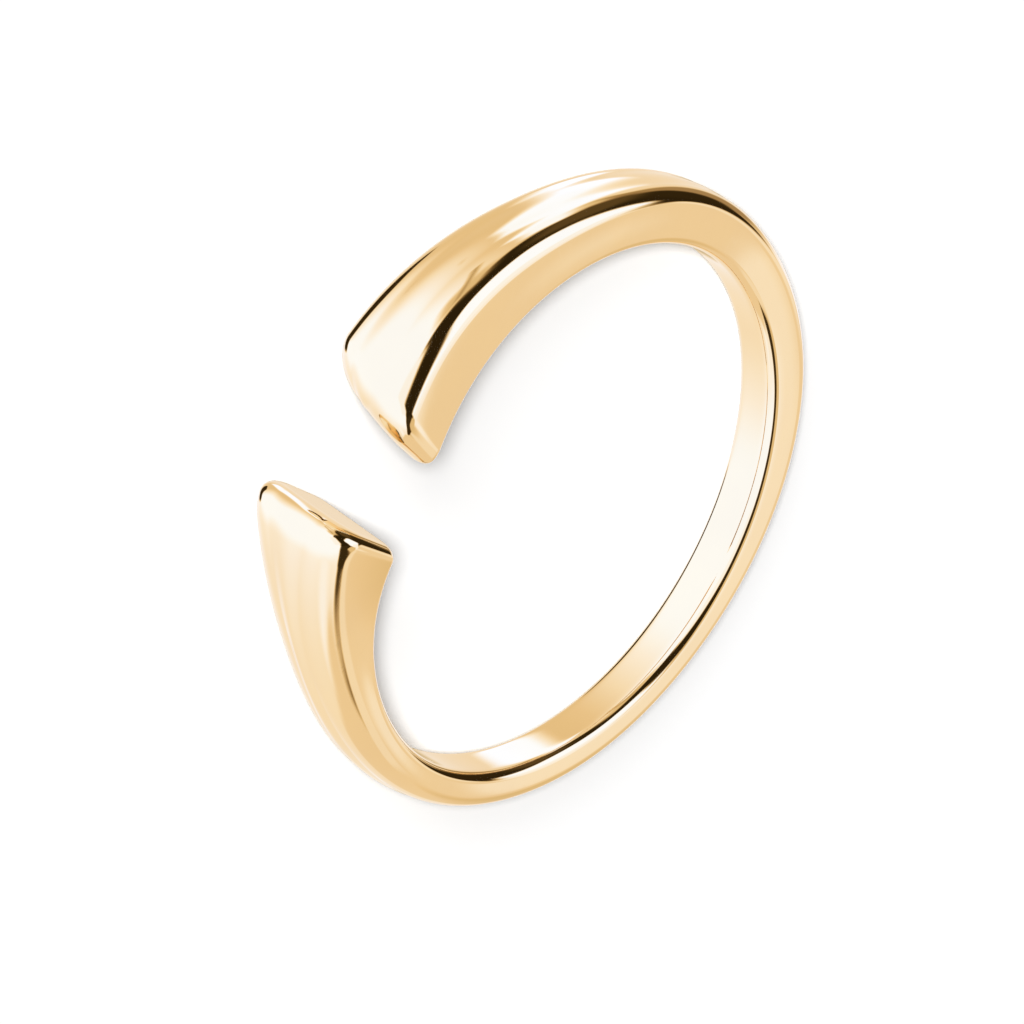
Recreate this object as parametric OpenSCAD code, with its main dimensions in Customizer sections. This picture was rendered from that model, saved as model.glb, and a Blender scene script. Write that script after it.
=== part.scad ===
// Open cuff ring.
// One solid band of polished metal bends round the finger and stops short of
// closing. Its back is slim. Both arms grow wider and thicker towards the gap,
// and each ends in a flat oblique face with softly rounded edges.
// Units are millimetres. The bore is centred on the origin. The ring lies on
// its side: its axis is almost vertical, leaning just enough for the ring to
// stand on its three lowest points, one under the back and one under each tip.
// Angles run round the bore axis from the middle of the back, anticlockwise
// seen from above. The upper arm is the one with positive angles.

/* [Bore] */
// Inside diameter of the ring
bore_d = 17; // [15:0.1:22]
// Rounding where the side faces meet the bore
bore_edge_r = 0.32; // [0.1:0.02:0.4]

/* [Band] */
// Width and thickness of the band at its control sections
sections = [
    // angle, thickness, width
    [-210, 5.18, 7.47],
    [-180, 3.63, 3.54],
    [-150, 1.66, 2.22],
    [-120, 1.23, 2.34],
    [ -90, 1.17, 1.64],
    [ -60, 1.26, 1.55],
    [ -30, 1.23, 1.53],
    [   0, 1.50, 1.50],
    [  30, 1.72, 1.45],
    [  60, 1.59, 1.32],
    [  90, 1.80, 2.04],
    [ 120, 1.93, 2.42],
    [ 150, 3.36, 2.92],
    [ 180, 2.23, 4.35],
    [ 210, 3.61, 6.45]
]; // [thickness 1.0 to 5.0, width 1.2 to 8.0, angles 30 degrees apart]
// Rounding of the outer edges along the back
back_edge_r = 0.48; // [0.3:0.01:0.55]
// Rounding of the outer edges at the two tips
tip_edge_r = 1.0; // [0.4:0.01:1.1]
// Rise of the outer face along its middle, at the tips
crown = 0.10; // [0:0.01:0.2]

/* [Lower arm tip] */
// Angle at which the end face meets the bore
low_angle = -174.5; // [-177:0.1:-165]
// Turn of the end face away from the radial direction, in degrees
low_lean = -19.9; // [-24:0.1:5]
// Turn of the end face away from the axial direction, in degrees
low_skew = 4.6; // [-10:0.1:20]
// Length of the rounding along the arm
low_round_len = 0.99; // [0.4:0.01:1.2]
// Rounding into the outer face
low_round_out = 1.12; // [0.4:0.01:1.3]
// Rounding into the side faces
low_round_side = 0.37; // [0.3:0.01:1.0]
// Part of that length over which the side faces round off
low_side_part = 0.45; // [0.3:0.05:1]
// Rounding into the bore
low_round_bore = 0.31; // [0.1:0.01:0.5]

/* [Upper arm tip] */
// Angle at which the end face meets the bore
up_angle = 166.2; // [155:0.1:170]
// Turn of the end face away from the radial direction, in degrees
up_lean = -11.4; // [-15:0.1:5]
// Turn of the end face away from the axial direction, in degrees
up_skew = 19.4; // [0:0.1:24]
// Length of the rounding along the arm
up_round_len = 0.98; // [0.4:0.01:1.2]
// Rounding into the outer face
up_round_out = 1.02; // [0.4:0.01:1.2]
// Rounding into the side faces
up_round_side = 0.94; // [0.4:0.01:1.0]
// Part of that length over which the side faces round off
up_side_part = 1.0; // [0.3:0.05:1]
// Rounding into the bore
up_round_bore = 0.36; // [0.1:0.01:0.5]

/* [Rest] */
// Lean of the ring's axis from upright towards the back, as it lies on its three lowest points
rest_lean = 3.1; // [0:0.1:4]
// Turn about X that goes with it
rest_roll = -1.0; // [-2:0.1:2]

/* [Smoothness] */
// Sections along the band between the two rounded ends
n_mid = 66; // [40:1:90]
// Sections in each rounded end
n_end = 8; // [4:1:10]
// Steps across each rounded outer edge
n_edge = 5; // [3:1:8]
// Strips across the outer face
n_face = 4; // [2:1:8]

/* [Hidden] */

// radius of the bore
bore_r = bore_d / 2;
// the rough inside of the band lies this far within the bore, which then cuts it true
cut_in = 0.06;
// angle between control sections
row_step = sections[1][0] - sections[0][0];
// the end faces' turns blend in from here to the tips
blend_from = 135;
// the outer edges' rounding grows between these angles
edge_from = 85;
edge_to = 170;
// and shrinks by this much through a rounded end
corner_trim = 0.15;
// part of a rounded end's length over which the bore rounds off
bore_part = 0.5;

// The two tips as rows: angle, lean, skew, length, out, side, bore, side part
A = 0; LEAN = 1; SKEW = 2; LEN = 3; OUT = 4; SIDE = 5; BORE = 6; PART = 7;
low_tip = [low_angle, low_lean, low_skew, low_round_len, low_round_out, low_round_side, low_round_bore, low_side_part];
up_tip = [up_angle, up_lean, up_skew, up_round_len, up_round_out, up_round_side, up_round_bore, up_side_part];
function tip_of(a) = a > 0 ? up_tip : low_tip;

// 0 to 1 with level ends
function ease(x) = let (c = min(max(x, 0), 1)) c * c * (3 - 2 * c);

// Smooth curve through the rows of the table (cubic B-spline), column c at angle a
function at(a, c) =
    let (t = (a - sections[0][0]) / row_step,
         i = min(max(floor(t), 1), len(sections) - 3),
         f = t - i)
    (pow(1 - f, 3) * sections[i - 1][c]
     + (3 * pow(f, 3) - 6 * f * f + 4) * sections[i][c]
     + (-3 * pow(f, 3) + 3 * f * f + 3 * f + 1) * sections[i + 1][c]
     + pow(f, 3) * sections[i + 2][c]) / 6;

// Points of one section in order, each as kind, side, place:
// kind 0 outer edge, 1 bore edge, 2 rough inside, 3 outer face
profile = concat(
    [for (k = [0 : n_edge]) [0, 1, 90 * k / n_edge]],
    [for (t = [90, 60, 30]) [1, 1, t]],
    [[2, 1, 0], [2, -1, 0]],
    [for (t = [30, 60, 90]) [1, -1, t]],
    [for (k = [n_edge : -1 : 0]) [0, -1, 90 * k / n_edge]],
    [for (k = [1 : n_face - 1]) [3, 0, -1 + 2 * k / n_face]]
);

// A quarter round that starts later: e goes from 0 to 1 along a round, and this
// goes from 0 to 1 in the last given part of its length
function late(e, part) =
    let (u = sqrt(max(1 - pow(1 - e, 2), 0)),
         v = min(max((u - 1 + part) / part, 0), 1))
    1 - sqrt(1 - v * v);

// Radius and height of profile point q at angle a; e goes from 0 to 1 through a
// rounded end of tip p
function place(a, q, e, p) =
    let (h = at(a, 2) / 2,
         ro = min(back_edge_r + (tip_edge_r - back_edge_r) * ease((abs(a) - edge_from) / (edge_to - edge_from)), 0.93 * h),
         r1 = bore_r + at(a, 1) - p[OUT] * e,
         h1 = h - p[SIDE] * late(e, p[PART]),
         r0 = bore_r + p[BORE] * late(e, bore_part),
         ro1 = max(ro - corner_trim * e, 0.1),
         k = q[0], s = q[1], t = q[2])
    k == 0 ? [r1 - ro1 * (1 - cos(t)), s * (h1 - ro1 * (1 - sin(t)))] :
    k == 1 ? [r0 + bore_edge_r * (1 - cos(t)), s * (h1 - bore_edge_r * (1 - sin(t)))] :
    k == 2 ? [r0 - cut_in, s * (h1 - bore_edge_r)] :
             [r1 + crown * ease((abs(a) - 40) / 120) * pow(1 - t * t, 2), t * (h1 - ro1)];

// Angle at which the flat end face of tip p passes radius r and height z
function face_angle(p, r, z) =
    p[A] + p[LEAN] - asin((bore_r * sin(p[LEAN]) - z * tan(p[SKEW])) / r);

// How much of the end face's turn a section at angle a takes
function turn_share(a) = ease((abs(a) - blend_from) / (abs(tip_of(a)[A]) - blend_from));

// Angle of a point at radius r and height z in the section at angle a
function turned(a, v) = a + turn_share(a) * (face_angle(tip_of(a), v[0], v[1]) - tip_of(a)[A]);

// One point of the skin: its size is read at the angle where the point ends up
function skin(a, e, q) =
    let (p = tip_of(a),
         b = turned(a, place(a, q, e, p)),
         c = turned(a, place(b, q, e, p)),
         v = place(c, q, e, p),
         g = turned(a, v))
    [v[0] * cos(g), v[0] * sin(g), v[1]];

// Stations along the band as angle, e
function run(p) = p[LEN] / (bore_r * 1.12) * 180 / PI;
stations = concat(
    [for (k = [n_end : -1 : 1]) let (t = 90 * k / n_end) [low_angle + run(low_tip) * (1 - sin(t)), 1 - cos(t)]],
    [for (k = [0 : n_mid]) [low_angle + run(low_tip) + (up_angle - run(up_tip) - low_angle - run(low_tip)) * k / n_mid, 0]],
    [for (k = [1 : n_end]) let (t = 90 * k / n_end) [up_angle - run(up_tip) * (1 - sin(t)), 1 - cos(t)]]
);

// The band before its bore is cut true
module band() {
    n = len(profile);
    m = len(stations);
    rows = [for (s = stations) [for (q = profile) skin(s[0], s[1], q)]];
    mid_low = [for (k = [0 : 2]) (rows[0][0][k] + rows[0][n_edge + 4][k] + rows[0][n_edge + 5][k] + rows[0][2 * n_edge + 9][k]) / 4];
    mid_up = [for (k = [0 : 2]) (rows[m - 1][0][k] + rows[m - 1][n_edge + 4][k] + rows[m - 1][n_edge + 5][k] + rows[m - 1][2 * n_edge + 9][k]) / 4];
    points = concat([for (r = rows) each r], [mid_low, mid_up]);
    sides = [for (i = [0 : m - 2]) for (j = [0 : n - 1])
        let (a = i * n + j, b = i * n + (j + 1) % n, c = b + n, d = a + n)
        each [[a, b, c], [a, c, d]]];
    cap_low = [for (j = [0 : n - 1]) [n * m, (j + 1) % n, j]];
    cap_up = [for (j = [0 : n - 1]) [n * m + 1, (m - 1) * n + j, (m - 1) * n + (j + 1) % n]];
    polyhedron(points = points, faces = concat(sides, cap_low, cap_up), convexity = 6);
}

// The whole ring, lying as it rests
module cuff_ring() {
    color([0.90, 0.72, 0.42])
    rotate([rest_roll, rest_lean, 0])
    difference() {
        band();
        cylinder(h = 30, r = bore_r, center = true, $fn = 180);
    }
}

cuff_ring();
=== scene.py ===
import math

import bpy
import numpy as np
from mathutils import Matrix, Vector


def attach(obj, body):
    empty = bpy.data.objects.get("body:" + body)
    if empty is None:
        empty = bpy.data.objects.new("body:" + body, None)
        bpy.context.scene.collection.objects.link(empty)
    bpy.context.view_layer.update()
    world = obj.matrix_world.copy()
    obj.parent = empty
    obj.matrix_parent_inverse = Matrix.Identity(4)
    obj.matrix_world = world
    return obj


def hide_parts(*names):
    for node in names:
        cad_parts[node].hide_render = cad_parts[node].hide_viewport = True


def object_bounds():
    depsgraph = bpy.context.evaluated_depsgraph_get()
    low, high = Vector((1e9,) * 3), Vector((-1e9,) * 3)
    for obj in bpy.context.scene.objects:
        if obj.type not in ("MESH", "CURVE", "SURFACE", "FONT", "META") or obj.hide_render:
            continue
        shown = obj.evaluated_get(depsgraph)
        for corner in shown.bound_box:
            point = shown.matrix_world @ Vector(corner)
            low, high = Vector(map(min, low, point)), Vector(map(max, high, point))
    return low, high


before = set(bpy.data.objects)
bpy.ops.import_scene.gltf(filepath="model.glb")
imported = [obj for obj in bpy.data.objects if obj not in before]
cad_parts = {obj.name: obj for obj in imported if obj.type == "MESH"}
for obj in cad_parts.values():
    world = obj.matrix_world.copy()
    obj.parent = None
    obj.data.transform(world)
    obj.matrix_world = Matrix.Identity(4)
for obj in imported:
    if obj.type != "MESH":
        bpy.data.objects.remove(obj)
cad_low, cad_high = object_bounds()

MM = 0.001

# ---------------------------------------------------------------- the ring's sizes, in millimetres
BORE_R = 8.5
BORE_EDGE_R = 0.32
BACK_EDGE_R = 0.48
TIP_EDGE_R = 1.0
EDGE_FROM, EDGE_TO = 85.0, 170.0
CORNER_TRIM = 0.15
BORE_PART = 0.5
CROWN = 0.10
BLEND_FROM = 135.0
REST_LEAN, REST_ROLL = 3.1, -1.0
SECTIONS = np.array([
    # angle, thickness, width
    [-210, 5.18, 7.47],
    [-180, 3.63, 3.54],
    [-150, 1.66, 2.22],
    [-120, 1.23, 2.34],
    [-90, 1.17, 1.64],
    [-60, 1.26, 1.55],
    [-30, 1.23, 1.53],
    [0, 1.50, 1.50],
    [30, 1.72, 1.45],
    [60, 1.59, 1.32],
    [90, 1.80, 2.04],
    [120, 1.93, 2.42],
    [150, 3.36, 2.92],
    [180, 2.23, 4.35],
    [210, 3.61, 6.45],
])
LOW_TIP = dict(angle=-174.5, lean=-19.9, skew=4.6, length=0.99, out=1.12, side=0.37, bore=0.31, part=0.45)
UP_TIP = dict(angle=166.2, lean=-11.4, skew=19.4, length=0.98, out=1.02, side=0.94, bore=0.36, part=1.0)


# the ring's turn as it lies on its three lowest points
REST = Matrix.Rotation(math.radians(REST_LEAN), 3, "Y") @ Matrix.Rotation(math.radians(REST_ROLL), 3, "X")


def ease(x):
    x = np.clip(x, 0.0, 1.0)
    return x * x * (3 - 2 * x)


def at(a, column):
    """Smooth curve through the table's rows (cubic B-spline) at angle a."""
    t = (a - SECTIONS[0, 0]) / 30.0
    i = np.clip(np.floor(t).astype(int), 1, len(SECTIONS) - 3)
    f = t - i
    v = SECTIONS[:, column]
    return ((1 - f) ** 3 * v[i - 1] + (3 * f ** 3 - 6 * f * f + 4) * v[i]
            + (-3 * f ** 3 + 3 * f * f + 3 * f + 1) * v[i + 1] + f ** 3 * v[i + 2]) / 6


def ring_mesh(n_mid=600, n_end=40, n_edge=18, n_face=30, n_bore=9, n_wall=8, n_cap=7):
    """The band as rounded sections swept round the finger bore, closed by two flat oblique faces."""
    low, up = LOW_TIP, UP_TIP
    run = lambda tip: math.degrees(tip["length"] / (BORE_R * 1.12))
    first, last = low["angle"] + run(low), up["angle"] - run(up)
    turn = np.radians(90 * np.arange(1, n_end + 1) / n_end)
    a = np.concatenate([
        (low["angle"] + run(low) * (1 - np.sin(turn)))[::-1],
        np.linspace(first, last, n_mid + 1),
        up["angle"] - run(up) * (1 - np.sin(turn)),
    ])[:, None]
    e = np.concatenate([(1 - np.cos(turn))[::-1], np.zeros(n_mid + 1), 1 - np.cos(turn)])[:, None]
    of = lambda key: np.where(a > 0, up[key], low[key])

    # a quarter round that starts later, in the last part of a rounded end's length
    def late(part):
        u = np.sqrt(np.clip(1 - (1 - e) ** 2, 0, 1))
        return 1 - np.sqrt(1 - np.clip((u - 1 + part) / part, 0, 1) ** 2)

    e_side, e_bore = late(of("part")), late(BORE_PART)

    # one section's points in order: kind, side, place
    edge = [90 * k / n_edge for k in range(n_edge + 1)]
    bore = [90 * k / n_bore for k in range(n_bore + 1)]
    profile = [("edge", 1, t) for t in edge] + [("bore", 1, t) for t in bore[::-1]]
    profile += [("wall", 0, 1 - 2 * k / n_wall) for k in range(1, n_wall)]
    profile += [("bore", -1, t) for t in bore] + [("edge", -1, t) for t in edge[::-1]]
    profile += [("face", 0, -1 + 2 * k / n_face) for k in range(1, n_face)]

    def place(angle):
        r, z = np.empty_like(angle), np.empty_like(angle)
        for j, (kind, side, t) in enumerate(profile):
            p = angle[:, j:j + 1]
            h = at(p, 2) / 2
            grow = ease((np.abs(p) - EDGE_FROM) / (EDGE_TO - EDGE_FROM))
            ro = np.minimum(BACK_EDGE_R + (TIP_EDGE_R - BACK_EDGE_R) * grow, 0.93 * h)
            r1 = BORE_R + at(p, 1) - of("out") * e
            h1 = h - of("side") * e_side
            r0 = BORE_R + of("bore") * e_bore
            ro1 = np.maximum(ro - CORNER_TRIM * e, 0.1)
            c, s = math.cos(math.radians(t)), math.sin(math.radians(t))
            if kind == "edge":
                rr, zz = r1 - ro1 * (1 - c), side * (h1 - ro1 * (1 - s))
            elif kind == "bore":
                rr, zz = r0 + BORE_EDGE_R * (1 - c), side * (h1 - BORE_EDGE_R * (1 - s))
            elif kind == "wall":
                rr, zz = r0 + 0 * h, t * (h1 - BORE_EDGE_R)
            else:
                rr, zz = r1 + CROWN * ease((np.abs(p) - 40) / 120) * (1 - t * t) ** 2, t * (h1 - ro1)
            r[:, j:j + 1], z[:, j:j + 1] = rr, zz
        return r, z

    def face_angle(r, z):
        lean, skew = np.radians(of("lean")), np.radians(of("skew"))
        return of("angle") + of("lean") - np.degrees(np.arcsin((BORE_R * np.sin(lean) - z * np.tan(skew)) / r))

    share = ease((np.abs(a) - BLEND_FROM) / (np.abs(of("angle")) - BLEND_FROM))
    angle = np.repeat(a, len(profile), 1)
    for _ in range(2):
        r, z = place(angle)
        angle = a + share * (face_angle(r, z) - of("angle"))
    r, z = place(angle)
    angle = np.radians(a + share * (face_angle(r, z) - of("angle")))
    rows = np.stack([r * np.cos(angle), r * np.sin(angle), z], -1)

    # the flat end faces, as rings of quads closing on a small middle polygon
    def cap(row):
        middle = row.mean(0)
        return [middle + (row - middle) * (1 - k / n_cap) for k in range(1, n_cap)]

    rows = np.array(cap(rows[0])[::-1] + list(rows) + cap(rows[-1]))
    m, n = rows.shape[:2]
    points = rows.reshape(-1, 3)
    faces = []
    for i in range(m - 1):
        for j in range(n):
            b = i * n + j
            c = i * n + (j + 1) % n
            faces.append((b, b + n, c + n, c))
    low_mid, up_mid = len(points), len(points) + 1
    points = np.vstack([points, rows[0].mean(0), rows[-1].mean(0)])
    for j in range(n):
        k = (j + 1) % n
        faces.append((low_mid, j, k))
        faces.append((up_mid, (m - 1) * n + k, (m - 1) * n + j))
    return points @ np.array(REST).T * MM, faces


def make_object(name, points, faces, smooth=True):
    mesh = bpy.data.meshes.new(name)
    mesh.from_pydata([tuple(p) for p in points], [], faces)
    mesh.update()
    if smooth:
        mesh.polygons.foreach_set("use_smooth", [True] * len(mesh.polygons))
    obj = bpy.data.objects.new(name, mesh)
    bpy.context.scene.collection.objects.link(obj)
    return obj


def node(tree, kind, **values):
    n = tree.nodes.new(kind)
    for key, value in values.items():
        setattr(n, key, value)
    return n


def gold_material():
    """Polished yellow gold: soft swells from hand polishing, and the finest hairlines."""
    mat = bpy.data.materials.new("polished_gold")
    mat.use_nodes = True
    tree = mat.node_tree
    tree.nodes.clear()
    out = node(tree, "ShaderNodeOutputMaterial")
    shader = node(tree, "ShaderNodeBsdfPrincipled")
    shader.inputs["Metallic"].default_value = 1.0
    tree.links.new(shader.outputs["BSDF"], out.inputs["Surface"])
    place = node(tree, "ShaderNodeTexCoord")

    def noise(scale, detail, rough=0.5, distortion=0.0):
        n = node(tree, "ShaderNodeTexNoise")
        n.inputs["Scale"].default_value = scale
        n.inputs["Detail"].default_value = detail
        n.inputs["Roughness"].default_value = rough
        n.inputs["Distortion"].default_value = distortion
        tree.links.new(place.outputs["Object"], n.inputs["Vector"])
        return n

    def ramp(value, lo, hi, to_lo, to_hi):
        r = node(tree, "ShaderNodeMapRange")
        r.inputs["From Min"].default_value = lo
        r.inputs["From Max"].default_value = hi
        r.inputs["To Min"].default_value = to_lo
        r.inputs["To Max"].default_value = to_hi
        tree.links.new(value, r.inputs["Value"])
        return r.outputs["Result"]

    # colour: a very slight drift in the alloy's tone
    tone = noise(420.0, 3.0)
    mix = node(tree, "ShaderNodeMix", data_type="RGBA")
    mix.inputs["A"].default_value = (0.935, 0.722, 0.415, 1)
    mix.inputs["B"].default_value = (0.915, 0.705, 0.410, 1)
    tree.links.new(ramp(tone.outputs["Fac"], 0.35, 0.65, 0.0, 1.0), mix.inputs["Factor"])
    tree.links.new(mix.outputs["Result"], shader.inputs["Base Color"])

    # roughness: mirror polish, a little duller in cloudy patches and along hairlines
    cloud = noise(900.0, 5.0, 0.6)
    hair = node(tree, "ShaderNodeTexVoronoi", feature="DISTANCE_TO_EDGE")
    hair.inputs["Scale"].default_value = 2600.0
    stretch = node(tree, "ShaderNodeMapping")
    stretch.inputs["Scale"].default_value = (1.0, 0.12, 1.0)
    stretch.inputs["Rotation"].default_value = (0.4, 0.2, 0.7)
    tree.links.new(place.outputs["Object"], stretch.inputs["Vector"])
    tree.links.new(stretch.outputs["Vector"], hair.inputs["Vector"])
    line = ramp(hair.outputs["Distance"], 0.0, 0.025, 1.0, 0.0)
    base = ramp(cloud.outputs["Fac"], 0.3, 0.7, 0.035, 0.075)
    add = node(tree, "ShaderNodeMath", operation="MULTIPLY_ADD")
    tree.links.new(line, add.inputs[0])
    add.inputs[1].default_value = 0.04
    tree.links.new(base, add.inputs[2])
    tree.links.new(add.outputs["Value"], shader.inputs["Roughness"])

    # bump: slow swells of the polish, then the hairlines
    swell = noise(650.0, 2.0, 0.4)
    bump = node(tree, "ShaderNodeBump")
    bump.inputs["Strength"].default_value = 1.0
    bump.inputs["Distance"].default_value = 1.6e-6
    tree.links.new(swell.outputs["Fac"], bump.inputs["Height"])
    fine = node(tree, "ShaderNodeBump", invert=True)
    fine.inputs["Strength"].default_value = 0.25
    fine.inputs["Distance"].default_value = 2.0e-7
    tree.links.new(line, fine.inputs["Height"])
    tree.links.new(bump.outputs["Normal"], fine.inputs["Normal"])
    tree.links.new(fine.outputs["Normal"], shader.inputs["Normal"])
    return mat


points, faces = ring_mesh()
ring = make_object("open_cuff_ring", points, faces)
ring.data.materials.append(gold_material())
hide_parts("cuff_ring")
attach(ring, "root")

# ---------------------------------------------------------------- floor
floor_z = cad_low[2] - 0.00001
size = 3.0
floor = make_object("floor", [(-size, -size, floor_z), (size, -size, floor_z), (size, size, floor_z), (-size, size, floor_z)], [(0, 1, 2, 3)], smooth=False)
floor_mat = bpy.data.materials.new("pale_floor")
floor_mat.use_nodes = True
floor_shader = floor_mat.node_tree.nodes["Principled BSDF"]
floor_shader.inputs["Base Color"].default_value = (0.90, 0.90, 0.90, 1)
floor_shader.inputs["Roughness"].default_value = 0.9
floor_shader.inputs["Specular IOR Level"].default_value = 0.0
floor.data.materials.append(floor_mat)
floor.visible_glossy = False

# ---------------------------------------------------------------- the studio tent that the metal mirrors
# What polished gold shows for each level of light, as display values; the tent's light is that divided by the metal's own colour.
GOLD = np.array([0.93, 0.72, 0.42])
TONES = np.array([
    # level, red, green, blue
    [0.00, 34, 22, 5],
    [0.15, 62, 44, 17],
    [0.30, 100, 72, 34],
    [0.45, 165, 125, 72],
    [0.60, 222, 182, 118],
    [0.70, 234, 195, 136],
    [0.80, 247, 219, 174],
    [0.90, 253, 236, 210],
    [0.96, 254, 249, 238],
    [1.00, 255, 254, 252],
])


def tent_light(level):
    level = np.clip(level, 0, 1)
    shown = np.stack([np.interp(level, TONES[:, 0], TONES[:, k]) for k in (1, 2, 3)], -1) / 255
    linear = np.where(shown <= 0.04045, shown / 12.92, ((shown + 0.055) / 1.055) ** 2.4)
    return linear / GOLD


def direction(az, el):
    az, el = np.radians(az), np.radians(el)
    return np.stack([np.cos(el) * np.cos(az), np.cos(el) * np.sin(az), np.sin(el)], -1)


PANELS = [
    # what it is, azimuth, elevation, half width, half height, roll, softness, level (angles in degrees)
    ("cream wall, front", -62, -12, 48, 50, 0, 70, 0.79),
    ("tan wall, back", 62, -22, 42, 62, 0, 64, 0.66),
    ("brown low wall, right", 34, -11, 27, 13, 0, 10, 0.45),
    ("black surround", 33, 53, 55, 46, 0, 8, 0.05),
    ("black surround, front end", -52, 58, 15, 21, 0, 6, 0.12),
    ("black side wall, right", 32, 12, 18.5, 12.5, 0, 8, 0.08),
    ("white ceiling, left", 160, 64.5, 23, 12, 50, 9, 0.93),
    ("brown glow, right", 62, 14, 14, 16, 0, 14, 0.25),
    ("brown wall, back", 106, 24, 14, 12, 0, 16, 0.62),
    ("cream band, right", 22, -36, 36, 10, 14, 8, 0.76),
    ("white low strip, back right", 62, -32, 26, 7, 38, 7, 0.99),
    ("white strip, back right, upper part", 76, -9, 7, 12, 0, 8, 0.97),
    ("black low card", 90, -86, 13, 22.5, 0, 5, 0.08),
    ("tan floor rim", -19, -38, 9, 8, 0, 9, 0.54),
    ("gold front wall", -40, 14, 43, 23.5, 0, 5, 0.72),
    ("gold front wall, top", -30, 36, 15, 6.5, 0, 5, 0.78),
    ("cream wall, corner", -100, 24, 13, 8, 0, 12, 0.92),
    ("cream strip, right", 0, 16, 5, 16, 0, 6, 0.8),
    ("white softbox", 35, 51, 22, 17, 5, 5, 0.99),
    ("white softbox, corner", 2, 45, 9, 10.5, 0, 7, 0.93),
    ("cream card, front", -11, 39, 7, 6, 0, 6, 0.9),
    ("gold front, side faces", -14, 27, 10, 7, 0, 5, 0.73),
    ("brown strip, front", -31, 3.5, 8, 17, -6, 12, 0.6),
    ("bright patch", -16.8, 31.8, 3, 4, 0, 3, 0.82),
    ("dark post, back", 105, 9, 2.5, 20, -12, 5, 0.52),
    ("brown glow, front", -27, 52, 11, 11, 0, 6, 0.62),
]


def tent_level(az, el):
    d = direction(az, el)
    level = np.full(az.shape, 0.97)
    for name, paz, pel, hw, hh, roll, soft, value in PANELS:
        out = direction(np.array(float(paz)), np.array(float(pel)))
        side = direction(np.array(paz + 90.0), np.array(0.0))
        rise = np.cross(out, side)
        c, s = math.cos(math.radians(roll)), math.sin(math.radians(roll))
        side, rise = c * side + s * rise, -s * side + c * rise
        x = np.degrees(np.arctan2(d @ side, d @ out))
        y = np.degrees(np.arcsin(np.clip(d @ rise, -1, 1)))
        bend = 0.6 * min(hw, hh)
        x, y = np.abs(x) - hw + bend, np.abs(y) - hh + bend
        reach = np.hypot(np.maximum(x, 0), np.maximum(y, 0)) + np.minimum(np.maximum(x, y), 0) - bend
        cover = 1 - ease((reach + soft / 2) / soft)
        level = level + cover * (value - level)
    return level


def tent():
    n_az, n_el, radius = 360, 180, 0.9
    az, el = np.meshgrid(np.linspace(-180, 180, n_az, endpoint=False), np.linspace(-89.5, 89.5, n_el))
    points = (direction(az, el) * radius).reshape(-1, 3)
    faces = [(i * n_az + j, i * n_az + (j + 1) % n_az, (i + 1) * n_az + (j + 1) % n_az, (i + 1) * n_az + j)
             for i in range(n_el - 1) for j in range(n_az)]
    obj = make_object("studio_tent", points, faces)
    light = tent_light(tent_level(az, el)).reshape(-1, 3)
    layer = obj.data.color_attributes.new("light", "FLOAT_COLOR", "POINT")
    layer.data.foreach_set("color", np.column_stack([light, np.ones(len(light))]).ravel())
    mat = bpy.data.materials.new("tent_light")
    mat.use_nodes = True
    tree = mat.node_tree
    tree.nodes.clear()
    out = node(tree, "ShaderNodeOutputMaterial")
    glow = node(tree, "ShaderNodeEmission")
    colour = node(tree, "ShaderNodeAttribute", attribute_name="light")
    tree.links.new(colour.outputs["Color"], glow.inputs["Color"])
    tree.links.new(glow.outputs["Emission"], out.inputs["Surface"])
    mat.cycles.emission_sampling = "NONE"
    obj.data.materials.append(mat)
    obj.visible_camera = False
    obj.visible_diffuse = False
    obj.visible_shadow = False
    obj.visible_transmission = False
    return obj


tent()

# ---------------------------------------------------------------- soft light on the floor
world = bpy.data.worlds.new("studio")
bpy.context.scene.world = world
world.use_nodes = True
world.node_tree.nodes["Background"].inputs["Color"].default_value = (1.0, 1.0, 1.0, 1)
world.node_tree.nodes["Background"].inputs["Strength"].default_value = 0.16


def soft_light(name, az, el, strength, angle):
    light = bpy.data.lights.new(name, "SUN")
    light.energy = strength
    light.angle = math.radians(angle)
    obj = bpy.data.objects.new(name, light)
    bpy.context.scene.collection.objects.link(obj)
    obj.rotation_mode = "QUATERNION"
    obj.rotation_quaternion = Vector(direction(np.array(float(az)), np.array(float(el)))).to_track_quat("Z", "Y")
    obj.location = Vector(direction(np.array(float(az)), np.array(float(el)))) * 0.5
    obj.visible_glossy = False
    return obj


# the large front light stands beside the camera; the side light throws the soft shadow
soft_light("front_light", 161.0, 38.0, 4.3, 10.0)
soft_light("side_light", 150.0, 26.0, 0.98, 18.0)

# ---------------------------------------------------------------- camera, as fitted to the ring's outline, with the ring's lean
back = (REST @ Vector((-0.77348, 0.25423, 0.58060))).normalized()
right = REST @ Vector((0.63382, 0.31025, 0.70853))
right = (right - back * right.dot(back)).normalized()
up = back.cross(right)
camera = bpy.data.cameras.new("camera")
camera.sensor_width = 36.0
camera.lens = 455.9
camera.clip_start = 0.01
camera.clip_end = 10.0
cam = bpy.data.objects.new("camera", camera)
bpy.context.scene.collection.objects.link(cam)
place = REST @ Vector((-34.853, 11.340, 26.007)) * (BORE_R * MM)
cam.matrix_world = Matrix((
    (right.x, up.x, back.x, place.x),
    (right.y, up.y, back.y, place.y),
    (right.z, up.z, back.z, place.z),
    (0, 0, 0, 1),
))
bpy.context.scene.camera = cam

bpy.context.scene.view_settings.view_transform = "Standard"
bpy.context.scene.view_settings.look = "None"
